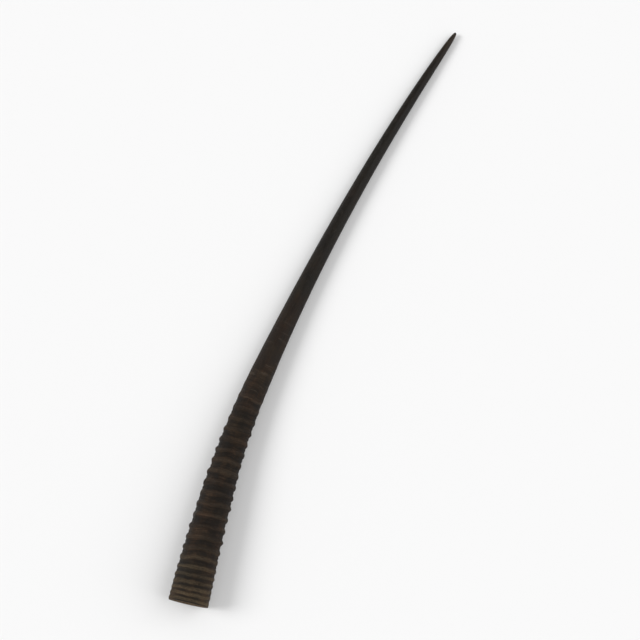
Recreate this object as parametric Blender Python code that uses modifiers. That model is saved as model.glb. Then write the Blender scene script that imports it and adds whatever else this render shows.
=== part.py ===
"""A gemsbok's horn, lying on its side on a level surface. Metres, +Z up.

The horn is one piece of keratin: a long, slender, gently bent cone. It is ringed for its lower
third, smooth and sharp above, and hollow at the base, where the bone of the skull used to fill it.
It is cut off flat at the base. It lies with its bend level and its lowest side along z = 0.
The origin is the bottom centre of its bounding box, and +X runs from the base towards the tip.
"""

import math

import bmesh
import bpy
import numpy as np

# The whole horn. Distances along it are measured on its middle line, from the cut at the base.
LENGTH = 0.930
BASE_WIDTH = 0.057  # level, in the plane of the bend
BASE_OVALNESS = 0.87  # height over width at the base; the horn grows round towards its tip
SLENDER_SHARE = 0.475  # share of the base width that the slender cone makes up
SLENDER_TAPER = 0.30  # a low power keeps the cone nearly even, then closes it to a short point
SWELL_REACH = 0.345 * LENGTH  # the rest of the base width dies away over this distance
POINT_LENGTH = 0.060  # the middle line of this last stretch is level, so that the point is central

# The bend, in degrees
EVEN_BEND = 14.8  # spread evenly along the horn
GATHERED_BEND = 6.0  # gathered where the thick ringed part ends
GATHERED_AT = 0.265 * LENGTH
GATHERED_SPREAD = 0.06 * LENGTH

# The rings
RINGED_LENGTH = 0.345
FIRST_CREST = 0.004
PITCH_AT_BASE = 0.0076
PITCH_IN_MIDDLE = 0.0155
PITCH_AT_END = 0.0185
MIDDLE_FROM = 0.090
WIDER_FROM = 0.200
GROOVE_DEPTH = 0.0026
SHALLOW_AT_BASE = 0.30  # share of the full groove depth at the base
DEPTH_GROWS_OVER = 0.080
DEPTH_FADES_FROM = 0.200

# The hollow
HOLLOW_DEPTH = 0.340
RIM_WALL = 0.0033
HOLLOW_TAPER = 0.72  # below 1 the hollow is a cone with bulging sides, as the bone in it was

# Facets
SIDES = 24
STATIONS_PER_RING = 4
STATIONS_ABOVE_RINGS = 26
STATIONS_IN_HOLLOW = 14
PATH_STEPS = 400
SEAM_MERGE = 0.00001

KERATIN_BROWN = (0.030, 0.022, 0.016, 1.0)
KERATIN_ROUGHNESS = 0.55


def clear_scene():
    for obj in list(bpy.data.objects):
        bpy.data.objects.remove(obj, do_unlink=True)


def eased(value):
    """0 below 0 and 1 above 1, with an easy curve between."""
    t = min(max(value, 0.0), 1.0)
    return t * t * (3.0 - 2.0 * t)


def crest_radius(s):
    """Half the width at distance s, over the ring crests: a slender cone plus a swelling that dies
    away like a bell curve and makes the ringed part thick."""
    slender = max(1.0 - s / LENGTH, 0.0) ** SLENDER_TAPER
    swelling = math.exp(-((s / SWELL_REACH) ** 2))
    return 0.5 * BASE_WIDTH * (SLENDER_SHARE * slender + (1.0 - SLENDER_SHARE) * swelling)


def ovalness(s):
    return BASE_OVALNESS + (1.0 - BASE_OVALNESS) * s / LENGTH


def groove_depth(s):
    """Shallow at the base, deepest above it, then fading out where the rings end."""
    grown = SHALLOW_AT_BASE + (1.0 - SHALLOW_AT_BASE) * eased(s / DEPTH_GROWS_OVER)
    faded = 1.0 - eased((s - DEPTH_FADES_FROM) / (RINGED_LENGTH - DEPTH_FADES_FROM))
    return GROOVE_DEPTH * grown * faded


def ring_pitch(s):
    """Distance from one crest to the next: short at the base, longer above it, longest at the end."""
    first_growth = (PITCH_IN_MIDDLE - PITCH_AT_BASE) * eased(s / MIDDLE_FROM)
    last_growth = (PITCH_AT_END - PITCH_IN_MIDDLE) * eased((s - WIDER_FROM) / (RINGED_LENGTH - WIDER_FROM))
    return PITCH_AT_BASE + first_growth + last_growth


def ring_crests():
    """Distances of the ring crests from the base."""
    crests = [FIRST_CREST]
    while crests[-1] < RINGED_LENGTH:
        crests.append(crests[-1] + ring_pitch(crests[-1]))
    return crests


def outer_profile():
    """(distance, radius) along the outside, from the cut to the tip."""
    crests = ring_crests()
    points = [(0.0, crest_radius(0.0) - groove_depth(0.0))]
    for crest, following in zip(crests, crests[1:]):
        for k in range(STATIONS_PER_RING):
            phase = k / STATIONS_PER_RING
            s = crest + phase * (following - crest)
            hump = 0.5 + 0.5 * math.cos(math.tau * phase)
            points.append((s, crest_radius(s) - groove_depth(s) * (1.0 - hump)))
    smooth_length = LENGTH - crests[-1]
    for k in range(STATIONS_ABOVE_RINGS):
        s = LENGTH - smooth_length * (1.0 - k / STATIONS_ABOVE_RINGS) ** 2
        points.append((s, crest_radius(s)))
    return points + [(LENGTH, 0.0)]


def hollow_profile():
    """(distance, radius) along the inside, from the cut to the end of the hollow."""
    mouth = crest_radius(0.0) - groove_depth(0.0) - RIM_WALL
    shares = [k / STATIONS_IN_HOLLOW for k in range(STATIONS_IN_HOLLOW + 1)]
    return [(share * HOLLOW_DEPTH, mouth * (1.0 - share) ** HOLLOW_TAPER) for share in shares]


def turned_mesh(profile):
    """The profile's points (distance along X, radius) turned about X into a closed mesh."""
    outline = bpy.data.meshes.new("outline")
    points = [(s, radius, 0.0) for s, radius in profile]
    edges = [(k, k + 1) for k in range(len(points) - 1)]
    outline.from_pydata(points, edges, [])
    turning = bpy.data.objects.new("turning", outline)
    bpy.context.scene.collection.objects.link(turning)
    screw = turning.modifiers.new("Screw", "SCREW")
    screw.axis = "X"
    screw.steps = SIDES
    screw.render_steps = SIDES
    screw.use_merge_vertices = True
    screw.merge_threshold = SEAM_MERGE
    turned = turning.evaluated_get(bpy.context.evaluated_depsgraph_get())
    mesh = bpy.data.meshes.new_from_object(turned)
    bpy.data.objects.remove(turning, do_unlink=True)
    return mesh


def heading(s):
    """How far the horn has turned at distance s, in radians from +X towards -Y."""
    gathered = 0.5 + 0.5 * math.erf((s - GATHERED_AT) / (GATHERED_SPREAD * math.sqrt(2.0)))
    return math.radians(EVEN_BEND * s / LENGTH + GATHERED_BEND * gathered)


def middle_height(s):
    """Height of the middle line: half the horn's height, so that it lies on its crests all along."""
    resting = min(s, LENGTH - POINT_LENGTH)
    return ovalness(resting) * crest_radius(resting)


def bend_and_lay_down(mesh):
    """Carries the straight horn's sections along the bent middle line. Each section stays upright."""
    co = np.empty(len(mesh.vertices) * 3)
    mesh.vertices.foreach_get("co", co)
    along, aside, above = co.reshape(-1, 3).T

    step = LENGTH / PATH_STEPS
    stations = np.linspace(0.0, LENGTH, PATH_STEPS + 1)
    turns = np.array([heading(s) for s in stations])
    middle_turns = 0.5 * (turns[:-1] + turns[1:])
    path_x = np.concatenate([[0.0], np.cumsum(step * np.cos(middle_turns))])
    path_y = np.concatenate([[0.0], np.cumsum(-step * np.sin(middle_turns))])

    turn = np.interp(along, stations, turns)
    x = np.interp(along, stations, path_x) + aside * np.sin(turn)
    y = np.interp(along, stations, path_y) + aside * np.cos(turn)
    z = np.array([middle_height(s) for s in along]) + above * ovalness(along)
    x -= 0.5 * (x.min() + x.max())
    y -= 0.5 * (y.min() + y.max())
    z -= z.min()
    mesh.vertices.foreach_set("co", np.stack([x, y, z], axis=1).ravel())


def close_and_shade(mesh):
    shape = bmesh.new()
    shape.from_mesh(mesh)
    bmesh.ops.remove_doubles(shape, verts=shape.verts, dist=SEAM_MERGE)
    bmesh.ops.recalc_face_normals(shape, faces=shape.faces)
    shape.to_mesh(mesh)
    shape.free()
    mesh.shade_smooth()
    mesh.set_sharp_from_angle(angle=math.radians(50))


def keratin():
    material = bpy.data.materials.new("keratin")
    material.use_nodes = True
    shader = material.node_tree.nodes["Principled BSDF"]
    shader.inputs["Base Color"].default_value = KERATIN_BROWN
    shader.inputs["Roughness"].default_value = KERATIN_ROUGHNESS
    shader.inputs["Metallic"].default_value = 0.0
    return material


def make_horn():
    mesh = turned_mesh(outer_profile()[::-1] + hollow_profile())
    mesh.name = "horn"
    bend_and_lay_down(mesh)
    close_and_shade(mesh)
    mesh.materials.append(keratin())
    return bpy.data.objects.new("horn", mesh)


clear_scene()
gemsbok_horn = bpy.data.collections.new("gemsbok_horn")
bpy.context.scene.collection.children.link(gemsbok_horn)
gemsbok_horn.objects.link(make_horn())
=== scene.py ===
"""A gemsbok's horn, loose and lying on its side on a pale floor, seen from above."""

import itertools
import math

import bpy
import numpy as np
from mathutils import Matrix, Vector


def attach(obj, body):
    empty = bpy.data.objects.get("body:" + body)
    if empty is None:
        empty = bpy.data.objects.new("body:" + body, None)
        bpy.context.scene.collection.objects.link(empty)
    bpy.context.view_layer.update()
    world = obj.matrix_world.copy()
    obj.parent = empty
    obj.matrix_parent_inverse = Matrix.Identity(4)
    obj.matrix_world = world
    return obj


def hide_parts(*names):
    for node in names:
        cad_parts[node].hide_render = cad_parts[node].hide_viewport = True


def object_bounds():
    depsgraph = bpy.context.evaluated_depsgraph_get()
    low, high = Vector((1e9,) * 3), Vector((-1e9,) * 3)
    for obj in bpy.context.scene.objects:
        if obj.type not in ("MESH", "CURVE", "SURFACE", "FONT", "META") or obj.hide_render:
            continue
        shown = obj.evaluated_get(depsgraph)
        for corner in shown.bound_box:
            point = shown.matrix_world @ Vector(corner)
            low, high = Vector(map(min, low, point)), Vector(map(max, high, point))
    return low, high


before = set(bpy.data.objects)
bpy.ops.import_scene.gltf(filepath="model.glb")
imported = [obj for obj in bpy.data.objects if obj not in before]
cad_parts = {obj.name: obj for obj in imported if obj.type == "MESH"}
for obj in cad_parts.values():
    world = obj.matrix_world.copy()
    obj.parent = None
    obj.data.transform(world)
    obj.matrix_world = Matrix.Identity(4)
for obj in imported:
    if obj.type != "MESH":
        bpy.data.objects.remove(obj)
cad_low, cad_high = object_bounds()


# ---- The sheath: its long form ---------------------------------------------------------------
# The horn is one sheath of keratin, grown layer by layer over a core of bone, and later slipped off
# it. It is a long cone, thick where it sat on the skull, oval across, and gently bent in one plane.
# Places on it are given as on a straightened horn: s along it from the cut, and an angle round it.

LENGTH = 0.930
BASE_WIDTH = 0.057
BASE_OVALNESS = 0.87  # height over width at the base; the horn grows round towards its tip
SLENDER_SHARE = 0.475  # share of the base width that the slender cone makes up
SLENDER_TAPER = 0.30
SWELL_REACH = 0.345 * LENGTH
POINT_LENGTH = 0.060  # the middle line of this last stretch is level
EVEN_BEND = 14.8  # degrees, spread evenly along the horn
GATHERED_BEND = 6.0  # degrees, gathered where the thick ringed part ends
GATHERED_AT = 0.265 * LENGTH
GATHERED_SPREAD = 0.06 * LENGTH
PATH_STEPS = 400


def eased(value):
    """0 below 0 and 1 above 1, with an easy curve between."""
    t = np.clip(value, 0.0, 1.0)
    return t * t * (3.0 - 2.0 * t)


def crest_radius(s):
    """Half the width over the ring crests: a slender cone, plus a swelling that dies away like a
    bell curve."""
    slender = np.clip(1.0 - s / LENGTH, 0.0, 1.0) ** SLENDER_TAPER
    swelling = np.exp(-((s / SWELL_REACH) ** 2))
    return 0.5 * BASE_WIDTH * (SLENDER_SHARE * slender + (1.0 - SLENDER_SHARE) * swelling)


def ovalness(s):
    return BASE_OVALNESS + (1.0 - BASE_OVALNESS) * s / LENGTH


def heading(s):
    """How far the horn has turned at s, in radians from +X towards -Y."""
    gathered = 0.5 + 0.5 * math.erf((s - GATHERED_AT) / (GATHERED_SPREAD * math.sqrt(2.0)))
    return math.radians(EVEN_BEND * s / LENGTH + GATHERED_BEND * gathered)


def laid_down(s, aside, above):
    """Carries points of the straightened horn, which lies along its own axis, onto the bent middle
    line. The line's height is half the horn's height there, so that the crests rest on the floor."""
    step = LENGTH / PATH_STEPS
    stations = np.linspace(0.0, LENGTH, PATH_STEPS + 1)
    turns = np.array([heading(station) for station in stations])
    middle_turns = 0.5 * (turns[:-1] + turns[1:])
    path_x = np.concatenate([[0.0], np.cumsum(step * np.cos(middle_turns))])
    path_y = np.concatenate([[0.0], np.cumsum(-step * np.sin(middle_turns))])
    turn = np.interp(s, stations, turns)
    resting = np.minimum(s, LENGTH - POINT_LENGTH)
    x = np.interp(s, stations, path_x) + aside * np.sin(turn)
    y = np.interp(s, stations, path_y) + aside * np.cos(turn)
    z = ovalness(resting) * crest_radius(resting) + above
    return np.stack([x, y, z], axis=-1)


# ---- The sheath: its rings -------------------------------------------------------------------
# Each year's growth pushes up a few ridges at the skull, so the lower third is ringed: finely at
# the base, then boldly and a little unevenly, until the rings are worn away further up.

RINGED_LENGTH = 0.345
FIRST_CREST = 0.004
PITCH_AT_BASE = 0.0076
PITCH_IN_MIDDLE = 0.0155
PITCH_AT_END = 0.0185
MIDDLE_FROM = 0.090
WIDER_FROM = 0.200
GROOVE_DEPTH = 0.0026
SHALLOW_AT_BASE = 0.30
DEPTH_GROWS_OVER = 0.080
DEPTH_FADES_FROM = 0.200


def lattice_noise(along, across, upright, seed):
    """Smooth noise from -1 to 1: random values at the corners of unit cubes, blended between them
    with an eased curve."""
    values = np.random.default_rng(seed).uniform(-1.0, 1.0, (64, 64, 64))
    points = np.stack(np.broadcast_arrays(along, across, upright), axis=-1)
    cell = np.floor(points).astype(int)
    share = eased(points - cell)
    total = np.zeros(points.shape[:-1])
    for corner in itertools.product((0, 1), repeat=3):
        weight = np.prod(np.where(np.array(corner) == 1, share, 1.0 - share), axis=-1)
        a, b, c = np.moveaxis((cell + corner) % 64, -1, 0)
        total += weight * values[a, b, c]
    return total


def ring_pitch(s):
    """Distance from one crest to the next: short at the base, longer above it, longest at the end."""
    first_growth = (PITCH_IN_MIDDLE - PITCH_AT_BASE) * eased(s / MIDDLE_FROM)
    last_growth = (PITCH_AT_END - PITCH_IN_MIDDLE) * eased((s - WIDER_FROM) / (RINGED_LENGTH - WIDER_FROM))
    return PITCH_AT_BASE + first_growth + last_growth


def ring_crests():
    """Distances of the ring crests from the cut, with one more below it."""
    crests = [FIRST_CREST - PITCH_AT_BASE, FIRST_CREST]
    while crests[-1] < RINGED_LENGTH:
        crests.append(crests[-1] + ring_pitch(crests[-1]))
    return np.array(crests)


def groove_depth(s):
    """Shallow at the base, deepest above it, then fading out where the rings end."""
    grown = SHALLOW_AT_BASE + (1.0 - SHALLOW_AT_BASE) * eased(s / DEPTH_GROWS_OVER)
    faded = 1.0 - eased((s - DEPTH_FADES_FROM) / (RINGED_LENGTH - DEPTH_FADES_FROM))
    return GROOVE_DEPTH * grown * faded


def wavered(s, angle):
    """s as the growth lines count it: leaning a little to one side, and wavering round the horn in
    long and in short waves, so that rings and lines run unevenly but side by side."""
    round_y, round_z = np.cos(angle), np.sin(angle)
    lean = 0.0012 * np.cos(angle - 0.6)
    long_waves = 0.0020 * lattice_noise(s / 0.034, 1.5 * round_y, 1.5 * round_z, 11)
    short_waves = 0.0006 * lattice_noise(s / 0.011, 4.5 * round_y, 4.5 * round_z, 14)
    return s + (lean + long_waves + short_waves) * eased(s / 0.012)


def ring_relief(s, angle):
    """(how far the surface lies below the full crests, 1 on a crest and 0 in a groove) at s, angle.

    The place's number along the row of crests is found first. Its fraction runs through a ridge,
    a power of a cosine hump: 1 at each crest, 0 midway. Each crest rises and falls round the horn
    into low knobs. Each groove holds up to three minor ridges, which come and go round the horn.
    """
    round_y, round_z = np.cos(angle), np.sin(angle)
    crests = ring_crests()
    number = np.interp(wavered(s, angle), crests, np.arange(len(crests)))
    groove = np.floor(number)
    phase = number - groove
    nearest = np.round(number)
    narrowness = 1.0 + 1.1 * eased(s / MIDDLE_FROM)
    ridge = (0.5 + 0.5 * np.cos(math.tau * phase)) ** narrowness
    knobs = lattice_noise(3.7 * nearest, 2.6 * round_y, 2.6 * round_z, 12)
    boldness = lattice_noise(1.9 * nearest, 0.8 * round_y, 0.8 * round_z, 13)
    height = np.clip(0.80 + 0.26 * knobs + 0.26 * boldness, 0.35, 1.0)
    strength = 0.15 + 0.17 * lattice_noise(2.3 * groove, 1.8 * round_y, 1.8 * round_z, 15)
    minor = np.clip(strength, 0.0, 0.32) * (0.5 - 0.5 * np.cos(3.0 * math.tau * phase)) * (1.0 - ridge)
    floor = 0.12 * lattice_noise(2.9 * groove, 1.3 * round_y, 1.3 * round_z, 16) * (1.0 - ridge)
    low = groove_depth(s) * (1.0 - height * ridge - minor - floor)
    return np.maximum(low, 0.0), ridge


# ---- The sheath: its skin, its cut and its hollow ----------------------------------------------
# The outside carries fine growth lines across the rings and shallow flutes along the smooth part.
# The cut at the base is square, with slightly rubbed edges. Behind it the hollow narrows as the
# bone core did, so that the wall is thin at the cut and grows thick further in.

HOLLOW_DEPTH = 0.340
RIM_WALL = 0.0033
HOLLOW_TAPER = 0.72
RUBBED_EDGE = 0.0006
CHIP_DEPTH = 0.0012  # how far the worst chips reach in from the outer edge of the cut
AROUND = 112
CUT_FINISH_FROM = 0.12  # the inner finish starts this far through the wall
FINE_LENGTH = 0.370  # this much from the base has closely spaced stations
FINE_SPACING = 0.00062
STATIONS_TO_TIP = 205
STATIONS_IN_HOLLOW = 44


def outside_radius(s, angle):
    """(radius, crest) of the outside: the crest radius, less the rings' relief, less growth lines
    across, flutes along, and a slow unevenness.

    A growth line is a narrow cut where smooth noise over the wavered distance passes through zero.
    """
    round_y, round_z = np.cos(angle), np.sin(angle)
    full = crest_radius(s)
    low, crest = ring_relief(s, angle)
    ringed = groove_depth(s) / GROOVE_DEPTH
    banded = eased((0.58 * LENGTH - s) / (0.25 * LENGTH))
    line_noise = lattice_noise(wavered(s, angle) / 0.0019, 2.4 * round_y, 2.4 * round_z, 21)
    lines = (1.0 - np.abs(line_noise)) ** 4
    bands = lattice_noise(wavered(s, angle) / 0.0105, 1.1 * round_y, 1.1 * round_z, 24)
    flutes = lattice_noise(s / 0.150, full * round_y / 0.0042, full * round_z / 0.0042, 22)
    flutes = flutes + 0.5 * lattice_noise(s / 0.070, full * round_y / 0.0019, full * round_z / 0.0019, 25)
    uneven = lattice_noise(s / 0.060, 1.5 * round_y, 1.5 * round_z, 23)
    near_tip = eased((LENGTH - s) / 0.15)
    low = low + (0.00004 * banded + 0.00022 * ringed) * lines
    low = low + 0.00010 * banded * (1.0 + bands)
    low = low + 0.00020 * near_tip * (1.5 + flutes)
    low = low + 0.010 * full * near_tip * (1.0 + uneven)
    return np.maximum(full - low, 0.0), crest


def hollow_radius(s, angle):
    """Radius of the hollow: a cone with bulging sides, with flutes along it that the core left."""
    mouth = crest_radius(0.0) - groove_depth(0.0) - RIM_WALL
    plain = mouth * np.clip(1.0 - s / HOLLOW_DEPTH, 0.0, 1.0) ** HOLLOW_TAPER
    flutes = lattice_noise(s / 0.090, 5.0 * np.cos(angle), 5.0 * np.sin(angle), 31)
    pores = lattice_noise(s / 0.006, 9.0 * np.cos(angle), 9.0 * np.sin(angle), 32)
    return plain * (1.0 + 0.022 * flutes + 0.008 * pores)


def sheath_grid():
    """Rows of the whole surface, from the tip along the outside, over the cut, and up the hollow.

    Returns s, radius, crest and wall (0 outside, growing across the cut to 1 in the hollow) as
    arrays of rows by places round the horn.
    """
    angle = np.linspace(0.0, math.tau, AROUND, endpoint=False)[None, :]
    smooth_share = (np.arange(STATIONS_TO_TIP) / STATIONS_TO_TIP)[::-1]
    to_tip = LENGTH - (LENGTH - FINE_LENGTH) * (1.0 - smooth_share) ** 1.35
    fine = np.arange(FINE_LENGTH - FINE_SPACING, RUBBED_EDGE, -FINE_SPACING)
    outside_s = np.concatenate([to_tip, fine])[:, None] + 0.0 * angle
    outside_r, outside_crest = outside_radius(outside_s, angle)

    quarter = np.linspace(0.0, 0.5 * math.pi, 5)[:, None]
    outer_edge, edge_crest = outside_radius(RUBBED_EDGE + 0.0 * angle, angle)
    inner_edge = hollow_radius(RUBBED_EDGE + 0.0 * angle, angle)
    chips = np.clip(lattice_noise(0.5, 7.0 * np.cos(angle), 7.0 * np.sin(angle), 42) - 0.15, 0.0, 1.0)
    outer_turn_s = (RUBBED_EDGE + 0.0 * angle) * (1.0 - np.sin(quarter))
    outer_turn_r = outer_edge - (RUBBED_EDGE + CHIP_DEPTH * chips) * (1.0 - np.cos(quarter))
    across = np.linspace(0.0, 1.0, 7)[1:-1][:, None]
    flat_outer = outer_turn_r[-1:]
    flat_inner = inner_edge + RUBBED_EDGE
    cut_r = flat_outer + across * (flat_inner - flat_outer)
    cut_noise = lattice_noise(30.0 * across, 6.0 * np.cos(angle), 6.0 * np.sin(angle), 41)
    cut_s = 0.0001 * (1.0 + cut_noise)
    inner_turn_s = outer_turn_s[::-1]
    inner_turn_r = inner_edge + RUBBED_EDGE * (1.0 - np.cos(quarter[::-1]))

    inward = np.linspace(0.0, 1.0, STATIONS_IN_HOLLOW + 1)[1:-1][:, None] ** 1.1
    hollow_s = RUBBED_EDGE + (HOLLOW_DEPTH - RUBBED_EDGE) * inward + 0.0 * angle
    hollow_r = hollow_radius(hollow_s, angle)

    s = np.concatenate([outside_s, outer_turn_s, cut_s, inner_turn_s, hollow_s])
    radius = np.concatenate([outside_r, outer_turn_r, cut_r, inner_turn_r, hollow_r])
    crest = np.concatenate([outside_crest, np.repeat(edge_crest, len(s) - len(outside_s), axis=0)])
    cut_rows = 2 * len(quarter) + len(across)
    wall = np.zeros(len(s))
    wall[len(outside_s) : len(outside_s) + cut_rows] = np.linspace(0.0, 1.0, cut_rows)
    wall[len(outside_s) + cut_rows :] = 1.0
    return s, radius, crest, wall, angle


def sheath_mesh():
    """The grid as one closed mesh, with a single point at the tip and at the end of the hollow.

    Each point keeps its place on the straightened horn, as the growth lines count it, how far up a
    ring it lies and how far through the wall it is, for the finish to read.
    """
    s, radius, crest, wall_of_row, angle = sheath_grid()
    rows, around = s.shape
    aside = radius * np.cos(angle)
    above = radius * np.sin(angle) * ovalness(s)
    tip_and_end = np.array([[LENGTH, 0.0, 0.0], [HOLLOW_DEPTH, 0.0, 0.0]])
    straight = np.concatenate([np.stack([s, aside, above], axis=-1).reshape(-1, 3), tip_and_end])
    points = laid_down(straight[:, 0], straight[:, 1], straight[:, 2])
    grown = straight.copy()
    grown[:-2, 0] = wavered(s, angle).ravel()
    points[:, 0] += cad_low.x - points[:, 0].min()
    points[:, 1] += cad_low.y - points[:, 1].min()

    index = np.arange(rows * around).reshape(rows, around)
    following = np.roll(index, -1, axis=1)
    quads = np.stack([index[:-1], index[1:], following[1:], following[:-1]], axis=-1).reshape(-1, 4)
    tip, end = rows * around, rows * around + 1
    at_tip = np.stack([np.full(around, tip), index[0], following[0]], axis=-1)
    at_end = np.stack([index[-1], np.full(around, end), following[-1]], axis=-1)
    mesh = bpy.data.meshes.new("horn_sheath")
    mesh.from_pydata(points.tolist(), [], quads.tolist() + at_tip.tolist() + at_end.tolist())
    mesh.attributes.new("grown", "FLOAT_VECTOR", "POINT").data.foreach_set("vector", grown.ravel())
    crest = np.append(crest.ravel(), [1.0, 1.0])
    mesh.attributes.new("crest", "FLOAT", "POINT").data.foreach_set("value", crest)
    wall = np.append(np.repeat(wall_of_row, around), [0.0, 1.0])
    mesh.attributes.new("wall", "FLOAT", "POINT").data.foreach_set("value", wall)
    mesh.shade_smooth()
    behind_cut = wall_of_row[1:] > CUT_FINISH_FROM
    within = np.concatenate([np.repeat(behind_cut, around), np.zeros(around), np.ones(around)])
    mesh.polygons.foreach_set("material_index", within.astype(np.int32))
    mesh.update()
    return mesh


# ---- The sheath: its finish --------------------------------------------------------------------
# Keratin is dull brown on the young rings at the base, with an ochre tint and painted ochre highlights on
# their crests, brown with painted shade in the grooves above them, and near black and glossier to the tip,
# with fibres along it. Inside and on the cut it was never weathered: it is tan, layered across the wall,
# and painted darker deep in the hollow as shade.


def add(tree, kind, values=None, **settings):
    """A new shader node of that kind, with its settings, and its inputs set or linked by name."""
    node = tree.nodes.new(kind)
    for name, value in settings.items():
        setattr(node, name, value)
    for name, value in (values or {}).items():
        if isinstance(value, bpy.types.NodeSocket):
            tree.links.new(value, node.inputs[name])
        else:
            node.inputs[name].default_value = value
    return node


def stretched_grain_group():
    """Grain from 0 to 1 on the straightened horn: noise whose cells are stretched by Stretch, with
    Fineness cells to the metre. A small first number in Stretch gives fibres along the horn, and
    small last numbers give lines across it."""
    tree = bpy.data.node_groups.new("stretched_grain", "ShaderNodeTree")
    tree.interface.new_socket("Grown", in_out="INPUT", socket_type="NodeSocketVector")
    tree.interface.new_socket("Stretch", in_out="INPUT", socket_type="NodeSocketVector")
    tree.interface.new_socket("Fineness", in_out="INPUT", socket_type="NodeSocketFloat")
    tree.interface.new_socket("Contrast", in_out="INPUT", socket_type="NodeSocketFloat")
    tree.interface.new_socket("Grain", in_out="OUTPUT", socket_type="NodeSocketFloat")
    given = add(tree, "NodeGroupInput")
    stretched = add(tree, "ShaderNodeVectorMath", {0: given.outputs["Grown"], 1: given.outputs["Stretch"]},
                    operation="MULTIPLY")
    noise = add(tree, "ShaderNodeTexNoise", {"Vector": stretched.outputs[0],
                                             "Scale": given.outputs["Fineness"],
                                             "Detail": 4.0, "Roughness": 0.65})
    centred = add(tree, "ShaderNodeMath", {0: noise.outputs["Fac"], 1: 0.5}, operation="SUBTRACT")
    spread = add(tree, "ShaderNodeMath", {0: centred.outputs[0], 1: given.outputs["Contrast"], 2: 0.5},
                 operation="MULTIPLY_ADD", use_clamp=True)
    add(tree, "NodeGroupOutput", {"Grain": spread.outputs[0]})
    return tree


STRETCHED_GRAIN = stretched_grain_group()


def grain(tree, grown, stretch, fineness, contrast):
    """The grain group placed in a material, with its own values. Returns its output."""
    node = add(tree, "ShaderNodeGroup", node_tree=STRETCHED_GRAIN)
    tree.links.new(grown, node.inputs["Grown"])
    node.inputs["Stretch"].default_value = stretch
    node.inputs["Fineness"].default_value = fineness
    node.inputs["Contrast"].default_value = contrast
    return node.outputs["Grain"]


def value_between(tree, value, from_low, from_high, to_low=0.0, to_high=1.0):
    """value mapped from one range to another with an easy curve, clamped at both ends."""
    node = add(tree, "ShaderNodeMapRange", {"Value": value, "From Min": from_low, "From Max": from_high,
                                            "To Min": to_low, "To Max": to_high},
               interpolation_type="SMOOTHSTEP")
    return node.outputs["Result"]


def times(tree, first, second):
    return add(tree, "ShaderNodeMath", {0: first, 1: second}, operation="MULTIPLY").outputs[0]


def plus(tree, first, second):
    return add(tree, "ShaderNodeMath", {0: first, 1: second}, operation="ADD").outputs[0]


def blended(tree, share, first, second, way="MIX"):
    """The first colour with the second mixed over it, or blended in another way, by share."""
    node = add(tree, "ShaderNodeMix", data_type="RGBA", blend_type=way)
    for socket, value in (("Factor_Float", share), ("A_Color", first), ("B_Color", second)):
        wanted = next(each for each in node.inputs if each.identifier == socket)
        if isinstance(value, bpy.types.NodeSocket):
            tree.links.new(value, wanted)
        else:
            wanted.default_value = value
    return next(each for each in node.outputs if each.identifier == "Result_Color")


def colour_along(tree, value, stops):
    """A ramp through (place, colour) stops, with easy changes between them."""
    ramp = add(tree, "ShaderNodeValToRGB", {"Fac": value})
    ramp.color_ramp.interpolation = "EASE"
    while len(ramp.color_ramp.elements) < len(stops):
        ramp.color_ramp.elements.new(0.5)
    for element, (place, colour) in zip(ramp.color_ramp.elements, stops):
        element.position = place
        element.color = (*colour, 1.0)
    return ramp.outputs["Color"]


def shaded(tree, share, colour, value, change):
    """The colour made darker or lighter by up to change, as value goes from 0 to 1."""
    grey = value_between(tree, value, 0.0, 1.0, 1.0 - change, 1.0 + change)
    return blended(tree, share, colour, grey, "MULTIPLY")


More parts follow.
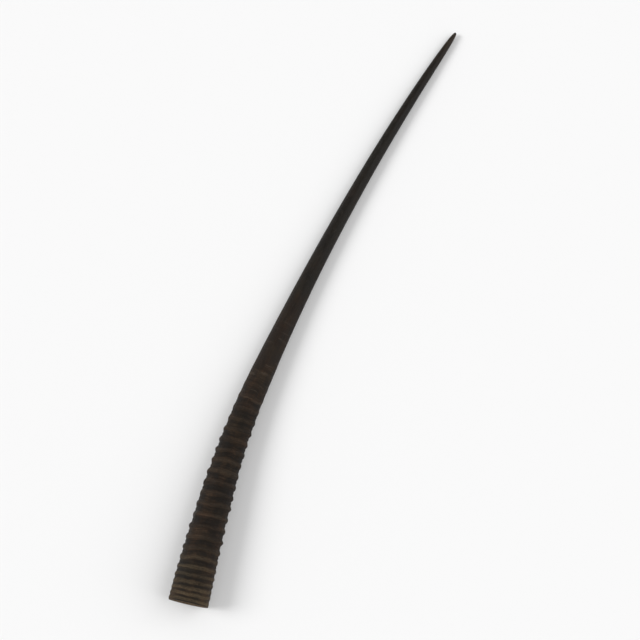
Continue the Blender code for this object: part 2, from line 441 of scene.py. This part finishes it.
def outer_keratin():
    """Brown along the horn, then hue patches, fibres and growth lines, painted shade in the grooves and
    painted highlights on the crests laid over it, each fading out where the horn has grown smooth."""
    material = bpy.data.materials.new("outer_keratin")
    material.use_nodes = True
    tree = material.node_tree
    shader = tree.nodes["Principled BSDF"]
    grown = add(tree, "ShaderNodeAttribute", attribute_name="grown").outputs["Vector"]
    crest = add(tree, "ShaderNodeAttribute", attribute_name="crest").outputs["Fac"]
    s = add(tree, "ShaderNodeSeparateXYZ", {"Vector": grown}).outputs["X"]
    share = times(tree, s, 1.0 / LENGTH)

    # Where each kind of surface is
    young = value_between(tree, s, 0.095, 0.020)
    ringed = value_between(tree, s, RINGED_LENGTH + 0.05, RINGED_LENGTH - 0.10)
    last_rings = times(tree, value_between(tree, s, 0.270, 0.310), value_between(tree, s, 0.460, 0.330))
    smooth = value_between(tree, share, 0.33, 0.55)
    worn_tip = value_between(tree, share, 0.93, 1.00)

    # Grains: fibres run along the horn and growth lines run round it
    fibres = grain(tree, grown, (0.015, 1.0, 1.0), 1100.0, 2.0)
    fine_fibres = grain(tree, grown, (0.02, 1.0, 1.0), 3200.0, 2.2)
    growth_bands = grain(tree, grown, (1.0, 0.10, 0.10), 190.0, 3.0)
    growth_lines = grain(tree, grown, (1.0, 0.04, 0.04), 850.0, 2.6)
    fine_lines = grain(tree, grown, (1.0, 0.05, 0.05), 2400.0, 2.6)
    patches = grain(tree, grown, (0.6, 1.0, 1.0), 60.0, 2.6)
    hues = grain(tree, grown, (0.7, 1.0, 1.0), 42.0, 3.0)
    specks = grain(tree, grown, (1.0, 0.30, 0.30), 1300.0, 3.2)
    scratches = value_between(tree, grain(tree, grown, (0.05, 1.0, 1.0), 2100.0, 3.0), 0.72, 1.0)

    # Colour, with its unevenness
    colour = colour_along(tree, share, [
        (0.00, (0.0260, 0.0188, 0.0108)),
        (0.06, (0.0195, 0.0136, 0.0080)),
        (0.13, (0.0200, 0.0136, 0.0080)),
        (0.30, (0.0180, 0.0118, 0.0066)),
        (0.42, (0.0135, 0.0092, 0.0055)),
        (0.55, (0.0076, 0.0060, 0.0038)),
        (0.80, (0.0064, 0.0054, 0.0035)),
        (1.00, (0.0100, 0.0074, 0.0048)),
    ])
    colour = blended(tree, times(tree, hues, 0.7), colour, (1.30, 0.92, 0.80, 1.0), "MULTIPLY")
    colour = shaded(tree, 1.0, colour, patches, 0.34)
    colour = shaded(tree, 1.0, colour, fibres, 0.36)
    colour = shaded(tree, 1.0, colour, fine_fibres, 0.28)
    colour = shaded(tree, ringed, colour, growth_bands, 0.42)
    colour = shaded(tree, ringed, colour, growth_lines, 0.40)
    colour = shaded(tree, ringed, colour, fine_lines, 0.30)

    # Painted shade in the grooves, painted highlights on the crests, and wear on the smooth part
    # how strongly the painted shade in the grooves shows, varied by the patches
    groove_shade_strength = value_between(tree, patches, 0.9, 0.2, 0.25, 0.80)
    groove = times(tree, times(tree, value_between(tree, crest, 0.45, 0.0), ringed), groove_shade_strength)
    # painted shade: the grooves between the ring crests darkened to near black
    colour = blended(tree, groove, colour, (0.0075, 0.0054, 0.0036, 1.0))
    # painted highlight on the ring crests, broken up by the specks
    crest_highlight = times(tree, value_between(tree, crest, 0.35, 0.95), value_between(tree, specks, 0.25, 0.70))
    # ochre: partly the real ochre tint of the young rings and their growth lines, partly painted highlight
    # on the crests
    ochre_tint_and_highlight = plus(tree, times(tree, crest_highlight, 0.40), times(tree, growth_lines, 0.35))
    ochre_tint_and_highlight = times(tree, times(tree, ochre_tint_and_highlight, value_between(tree, crest, 0.0, 0.8, 0.15, 1.0)), young)
    ochre_tint_and_highlight = times(tree, ochre_tint_and_highlight, value_between(tree, growth_bands, 0.1, 0.8, 0.45, 1.0))
    colour = blended(tree, ochre_tint_and_highlight, colour, (0.125, 0.092, 0.050, 1.0))
    # painted highlight: the crests of all the rings made a lighter brown
    brown_crest_highlight = times(tree, times(tree, crest_highlight, ringed), 0.24)
    colour = blended(tree, brown_crest_highlight, colour, (0.060, 0.045, 0.031, 1.0))
    scratched = times(tree, times(tree, scratches, smooth), 0.55)
    colour = blended(tree, scratched, colour, (0.055, 0.047, 0.038, 1.0))
    pale_arcs = times(tree, times(tree, value_between(tree, growth_bands, 0.72, 0.92), last_rings), 0.40)
    colour = blended(tree, pale_arcs, colour, (0.075, 0.060, 0.045, 1.0))
    tip_wear = times(tree, worn_tip, value_between(tree, fibres, 0.2, 0.9, 0.1, 0.8))
    colour = blended(tree, tip_wear, colour, (0.050, 0.036, 0.024, 1.0))
    tree.links.new(colour, shader.inputs["Base Color"])

    # Gloss: dull on the rings, smoother above, uneven everywhere
    dullness = value_between(tree, share, 0.33, 0.70, 0.60, 0.42)
    unevenness = value_between(tree, plus(tree, fibres, patches), 0.4, 1.6, -0.09, 0.09)
    roughness = plus(tree, plus(tree, dullness, unevenness), times(tree, scratches, 0.15))
    tree.links.new(roughness, shader.inputs["Roughness"])
    shader.inputs["Specular IOR Level"].default_value = 0.16

    # Fine relief: fibres everywhere, growth lines on the ringed part, scratches cut in
    lines = plus(tree, times(tree, growth_lines, 0.9), times(tree, fine_lines, 0.35))
    height = plus(tree, times(tree, fine_fibres, 0.30), times(tree, fibres, 0.55))
    height = plus(tree, height, times(tree, lines, ringed))
    height = plus(tree, height, times(tree, scratches, -0.25))
    height = times(tree, height, value_between(tree, share, 0.35, 0.95, 1.0, 0.70))
    bump = add(tree, "ShaderNodeBump", {"Strength": 0.9, "Distance": 0.0005, "Height": height})
    tree.links.new(bump.outputs["Normal"], shader.inputs["Normal"])
    return material


def inner_keratin():
    """Tan where it is near the cut, painted darker deep in the hollow as shade, browner at the outer edge
    of the cut, with fibres, layers and stains."""
    material = bpy.data.materials.new("inner_keratin")
    material.use_nodes = True
    tree = material.node_tree
    shader = tree.nodes["Principled BSDF"]
    grown = add(tree, "ShaderNodeAttribute", attribute_name="grown").outputs["Vector"]
    wall = add(tree, "ShaderNodeAttribute", attribute_name="wall").outputs["Fac"]
    s = add(tree, "ShaderNodeSeparateXYZ", {"Vector": grown}).outputs["X"]

    fibres = grain(tree, grown, (0.03, 1.0, 1.0), 620.0, 2.0)
    layers = grain(tree, grown, (0.2, 1.0, 1.0), 1500.0, 2.2)
    stains = grain(tree, grown, (0.5, 1.0, 1.0), 90.0, 2.6)
    # painted shade: the colour turns dark brown further into the hollow
    hollow_shade = value_between(tree, s, 0.0, 0.22)
    colour = blended(tree, hollow_shade, (0.175, 0.122, 0.074, 1.0), (0.060, 0.042, 0.028, 1.0))
    colour = blended(tree, value_between(tree, wall, 0.95, 0.10), colour, (0.052, 0.038, 0.026, 1.0))
    colour = shaded(tree, 1.0, colour, fibres, 0.28)
    colour = shaded(tree, 0.6, colour, layers, 0.30)
    colour = blended(tree, times(tree, stains, 0.55), colour, (0.045, 0.032, 0.022, 1.0))
    tree.links.new(colour, shader.inputs["Base Color"])
    tree.links.new(value_between(tree, stains, 0.0, 1.0, 0.62, 0.80), shader.inputs["Roughness"])
    shader.inputs["Specular IOR Level"].default_value = 0.25
    height = plus(tree, times(tree, fibres, 0.8), times(tree, layers, 0.3))
    bump = add(tree, "ShaderNodeBump", {"Strength": 0.7, "Distance": 0.0005, "Height": height})
    tree.links.new(bump.outputs["Normal"], shader.inputs["Normal"])
    return material


horn = bpy.data.objects.new("horn_sheath", sheath_mesh())
bpy.context.scene.collection.objects.link(horn)
horn.data.materials.append(outer_keratin())
horn.data.materials.append(inner_keratin())
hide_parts("horn")
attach(horn, "root")


# ---- The floor, the light and the camera --------------------------------------------------------
# A pale matt floor, two wide soft lamps, one to each side of the horn, and an even white room. The
# camera looks down on the horn, with its base at the lower left and its tip at the upper right.

CAMERA_LENS = 85.0
CAMERA_ELEVATION = 75.0
CHORD_IN_VIEW = 25.0  # degrees to the right of upright, from the base to the tip
FRAME_HEIGHT = 0.900  # metres across the view at the horn
AIM_TOWARDS_BASE = 0.031  # from the horn's middle, so that the view has even margins

centre = 0.5 * (cad_low + cad_high)


def soft_lamp(name, towards, width, strength):
    """A far lamp, shining from the given direction, as wide as a screen that many degrees across."""
    light = bpy.data.lights.new(name, "SUN")
    light.angle = math.radians(width)
    light.energy = strength
    made = bpy.data.objects.new(name, light)
    bpy.context.scene.collection.objects.link(made)
    made.rotation_euler = (-Vector(towards)).to_track_quat("-Z", "Y").to_euler()


def floor_finish():
    material = bpy.data.materials.new("pale_floor")
    material.use_nodes = True
    shader = material.node_tree.nodes["Principled BSDF"]
    shader.inputs["Base Color"].default_value = (0.86, 0.86, 0.86, 1.0)
    shader.inputs["Roughness"].default_value = 0.9
    shader.inputs["Specular IOR Level"].default_value = 0.1
    return material


bpy.ops.mesh.primitive_plane_add(size=40.0, location=(0.0, 0.0, 0.0))
floor = bpy.context.active_object
floor.name = "floor"
floor.data.materials.append(floor_finish())

soft_lamp("key", (-0.15, 1.2, 1.0), 30.0, 1.85)
soft_lamp("fill", (0.25, -1.1, 1.0), 60.0, 1.35)
world = bpy.data.worlds.new("studio")
world.use_nodes = True
world.node_tree.nodes["Background"].inputs["Color"].default_value = (1.0, 1.0, 1.0, 1.0)
world.node_tree.nodes["Background"].inputs["Strength"].default_value = 0.45
bpy.context.scene.world = world
bpy.context.scene.view_settings.view_transform = "Standard"

elevation = math.radians(CAMERA_ELEVATION)
base_end, tip_end = laid_down(np.array([0.0, LENGTH]), 0.0, 0.0)
chord_angle = math.atan2(tip_end[1] - base_end[1], tip_end[0] - base_end[0])
sideways = math.atan(math.tan(math.radians(CHORD_IN_VIEW)) * math.sin(elevation))
facing = chord_angle + sideways
camera_data = bpy.data.cameras.new("camera")
camera_data.lens = CAMERA_LENS
distance = 0.5 * FRAME_HEIGHT / (0.5 * camera_data.sensor_width / CAMERA_LENS)
level = Vector((math.cos(facing), math.sin(facing), 0.0))
look = level * math.cos(elevation) - Vector((0.0, 0.0, math.sin(elevation)))
camera = bpy.data.objects.new("camera", camera_data)
camera.location = centre - level * AIM_TOWARDS_BASE - look * distance
camera.rotation_euler = look.to_track_quat("-Z", "Y").to_euler()
bpy.context.scene.collection.objects.link(camera)
bpy.context.scene.camera = camera
